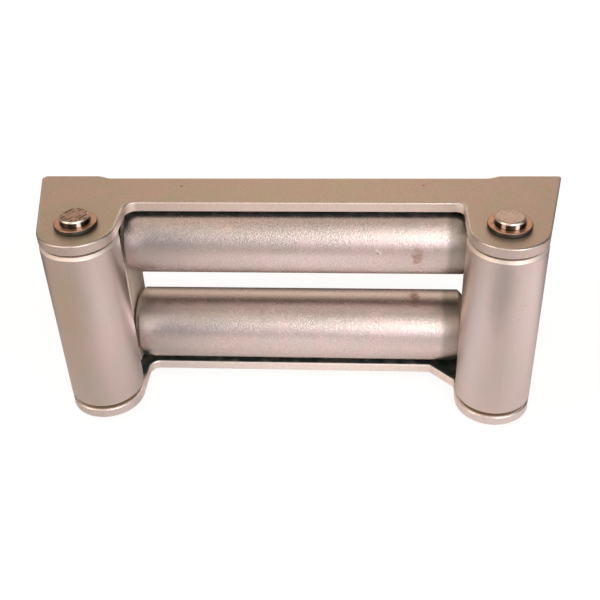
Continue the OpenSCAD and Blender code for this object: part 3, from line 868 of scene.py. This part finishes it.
def beadSurface(start, along, legA, legB, length, shape):
    across = np.linspace(0, 1, shape["across"])
    sink = shape["sink"]
    reach = math.hypot(1 + sink, sink)
    first = math.atan2(sink, 1 + sink)
    angles = first + (np.pi / 2 - 2 * first) * across
    arc = np.stack([reach * np.cos(angles) - sink, reach * np.sin(angles) - sink], 1) * shape["leg"]
    places = np.linspace(0, length, int(length / shape["step"]))
    toEnd = np.clip(np.minimum(places, length - places) / shape["endRound"], 0, 1)
    ends = np.sqrt(1 - (1 - toEnd) ** 2)
    phase = places[:, None] / shape["pitch"] + shape["lag"] * np.sin(np.pi * across)
    scale = ends[:, None] * (1 - shape["ripple"] * np.abs(np.sin(np.pi * phase)))
    section = arc[None] * scale[..., None]
    lines = places[:, None, None] * along
    face = start + section[..., :1] * legA + section[..., 1:] * legB + lines
    corner = start + lines
    points = np.concatenate([face, corner], 1)
    normals = np.cross(np.gradient(face, axis=1), np.gradient(face, axis=0))
    sizes = np.linalg.norm(normals, axis=2, keepdims=True)
    normals = normals / np.maximum(sizes, shape["leastNormal"])
    outward = (legA + legB) / math.sqrt(2)
    turned = np.sign((normals @ outward).sum())
    normals = np.concatenate([normals * turned, np.broadcast_to(-outward, corner.shape)], 1)
    index = np.arange(points.shape[0] * points.shape[1]).reshape(points.shape[:2])
    index[[0, -1]] = index[[0, -1], -1:]
    faces = gridFaces(index, False, True)
    if turned < 0:
        faces = [face[::-1] for face in faces]
    return points.reshape(-1, 3), normals.reshape(-1, 3), faces


def addWelds(shape):
    points, normals, faces = [], [], []
    xAxis, yAxis, zAxis = np.eye(3)
    stitch = nodePlace("upper_pin", "x")[0].z - ringShape["outer"] - shape["stop"]
    for side, sign in (("left", -1), ("right", 1)):
        plateLow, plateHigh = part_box(side + "_end_plate")
        flangeLow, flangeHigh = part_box(side + "_mounting_flange")
        wall = plateHigh.x if sign > 0 else plateLow.x
        edge = flangeHigh.x if sign > 0 else flangeLow.x
        runs = [((wall, flangeLow.y, -stitch), zAxis, sign * xAxis, -yAxis, 2 * stitch)]
        for level, height in ((-1, plateLow.z), (1, plateHigh.z)):
            front = plateLow.y + shape["stop"]
            runs.append(((wall, front, height), yAxis, sign * xAxis, -level * zAxis,
                         flangeLow.y - shape["leg"] - front))
            runs.append(((wall, flangeLow.y, height), sign * xAxis, -yAxis, -level * zAxis,
                         abs(edge - wall) - shape["stop"]))
        for start, *run in runs:
            before = sum(len(part) for part in points)
            beadPoints, beadNormals, beadFaces = beadSurface(np.array(start), *run, shape)
            points.append(beadPoints)
            normals.append(beadNormals)
            faces += [[before + i for i in face] for face in beadFaces]
    addPiece("weld_beads", np.concatenate(points), np.concatenate(normals), faces, weldFinish)


addWelds(weldShape)
print("welds made")


# Floor: a pale sheet. The camera sees it as white paper with a faint shadow. The metal mirrors a dimmer
# sheet, dark towards the rear, with glowing patches that are each exp(-(distance / reach) squared). Reach is
# along x and y.

floorLook = {
    "size": 8.0, "gap": 0.0001, "front": (0.8, 0.8, 0.8, 1), "rear": (0.12, 0.12, 0.12, 1),
    "rearSpan": (-0.04, 0.06), "roughness": 0.9,
    "white": 0.89, "shadow": (0.2, 0.2, 0.2, 1), "glow": (1.0, 0.87, 0.95),
}
floorGlows = [
    {"place": (0.30, -0.10), "reach": (0.14, 0.14), "strength": 0.70},
    {"place": (0.00, -0.17), "reach": (0.08, 0.08), "strength": 0.56},
    {"place": (0.24, -0.30), "reach": (0.12, 0.12), "strength": 0.2},
    {"place": (0.04, -0.07), "reach": (0.11, 0.03), "strength": 0.22},
]


# The camera sees one shader and the metal mirrors the other
def byCamera(tree, seen, mirrored):
    fromCamera = tree.nodes.new("ShaderNodeLightPath").outputs["Is Camera Ray"]
    return addNode(tree, "MixShader", i0=fromCamera, i1=mirrored, i2=seen).outputs[0]


# The tint times the sum of the patches, each given as its own value and its strength
def sumPatches(tree, tint, patches):
    total = 0.0
    for value, strength in patches:
        total = mathNode(tree, "MULTIPLY_ADD", value, strength, total)
    return addNode(tree, "VectorMath", {"operation": "SCALE"}, i0=tint, Scale=total).outputs[0]


def glowPatch(tree, place, glow, height):
    away = vectorNode(tree, "SUBTRACT", place, (*glow["place"], height))
    shared = vectorNode(tree, "DIVIDE", away, (*glow["reach"], 1.0))
    square = vectorNode(tree, "DOT_PRODUCT", shared, shared)
    return mathNode(tree, "EXPONENT", product(tree, square, -1.0))


def addFloor(look, glows, height):
    half = look["size"] / 2
    mesh = bpy.data.meshes.new("floor")
    corners = [(-half, -half, height), (half, -half, height), (half, half, height), (-half, half, height)]
    mesh.from_pydata(corners, [], [(0, 1, 2, 3)])
    floor = bpy.data.objects.new("floor", mesh)
    material, tree, shader, place = newFinish("floorPaper")
    toRear = rangeNode(tree, partOf(tree, place, "y"), *look["rearSpan"])
    tone = mixColour(tree, toRear, look["front"], look["rear"])
    setSockets(tree, shader, {"Base_Color": tone, "Roughness": look["roughness"], "Specular_IOR_Level": 0.0})
    patches = [(glowPatch(tree, place, glow, height), glow["strength"]) for glow in glows]
    tree.links.new(sumPatches(tree, look["glow"], patches), shader.inputs["Emission Color"])
    shader.inputs["Emission Strength"].default_value = 1.0
    shaded = addNode(tree, "BsdfDiffuse", Color=look["shadow"]).outputs[0]
    paper = addNode(tree, "Emission", Strength=look["white"]).outputs[0]
    seen = addNode(tree, "AddShader", i0=shaded, i1=paper).outputs[0]
    output = next(made for made in tree.nodes if made.type == "OUTPUT_MATERIAL")
    tree.links.new(byCamera(tree, seen, shader.outputs[0]), output.inputs[0])
    mesh.materials.append(material)
    bpy.context.scene.collection.objects.link(floor)


addFloor(floorLook, floorGlows, cadBox[0].z - floorLook["gap"])


# Studio: soft patches of light round the object, each exp((cosine of the angle to it - 1) / (1 - cosine of
# its spread)). The patches of a row have their strengths by azimuth, which runs from the front towards the
# right, in degrees as elevation and spread are.

roomLook = {"seen": (1.0, 1.0, 1.0, 1)}
keyLight = {"tint": (1.0, 0.92, 0.86), "rows": [
    {"elevation": 27, "spread": 11, "strengths": {-14: 0.2, 6: 1.5, 24: 4.5, 70: 1.05}},
    {"elevation": 36, "spread": 5, "strengths": {40: 6.3}},
    {"elevation": 46, "spread": 13, "strengths": {-20: 0.5, 12: 0.9, 42: 2.6, 75: 0.6}},
]}
lowLight = {"tint": (1.0, 0.87, 0.93), "rows": [
    {"elevation": 8, "spread": 12, "strengths": {0: 1.1, 25: 4.4}},
    {"elevation": 8, "spread": 14, "strengths": {55: 1.45}},
]}
fillLight = {"tint": (1.0, 0.79, 0.66), "rows": [
    {"elevation": 8, "spread": 25, "strengths": {-150: 0.45, 150: 0.43}},
    {"elevation": 8, "spread": 18, "strengths": {-100: 0.3}},
    {"elevation": 8, "spread": 16, "strengths": {-60: 1.6}},
    {"elevation": 27, "spread": 11, "strengths": {-60: 2.5, -35: 0.5}},
    {"elevation": 33, "spread": 22, "strengths": {-140: 0.2}},
    {"elevation": 33, "spread": 17, "strengths": {180: 1.1}},
    {"elevation": 36, "spread": 5, "strengths": {-59: 4.5}},
    {"elevation": 46, "spread": 13, "strengths": {-60: 2.9}},
    {"elevation": 65, "spread": 16, "strengths": {-90: 0.6, 0: 0.25}},
    {"elevation": 90, "spread": 18, "strengths": {0: 0.73}},
]}


def lightPatch(tree, direction, *degrees):
    azimuth, elevation, spread = (math.radians(angle) for angle in degrees)
    flat = math.cos(elevation)
    towards = (math.sin(azimuth) * flat, -math.cos(azimuth) * flat, math.sin(elevation))
    cosine = vectorNode(tree, "DOT_PRODUCT", direction, towards)
    off = mathNode(tree, "DIVIDE", mathNode(tree, "SUBTRACT", cosine, 1.0), 1 - math.cos(spread))
    return mathNode(tree, "EXPONENT", off)


def addRoom(look, lights):
    world = bpy.data.worlds.new("room")
    bpy.context.scene.world = world
    world.use_nodes = True
    tree = world.node_tree
    tree.nodes.clear()
    direction = tree.nodes.new("ShaderNodeTexCoord").outputs["Generated"]
    lit = (0.0, 0.0, 0.0)
    for light in lights:
        patches = [(lightPatch(tree, direction, azimuth, row["elevation"], row["spread"]), strength)
                   for row in light["rows"] for azimuth, strength in row["strengths"].items()]
        shone = sumPatches(tree, light["tint"], patches)
        lit = vectorNode(tree, "ADD", lit, shone)
    around = addNode(tree, "Background", Color=lit, Strength=1.0).outputs[0]
    seen = addNode(tree, "Background", Color=look["seen"], Strength=1.0).outputs[0]
    output = tree.nodes.new("ShaderNodeOutputWorld")
    tree.links.new(byCamera(tree, seen, around), output.inputs[0])


addRoom(roomLook, [keyLight, lowLight, fillLight])
bpy.context.scene.view_settings.view_transform = "Standard"
print("studio lit")
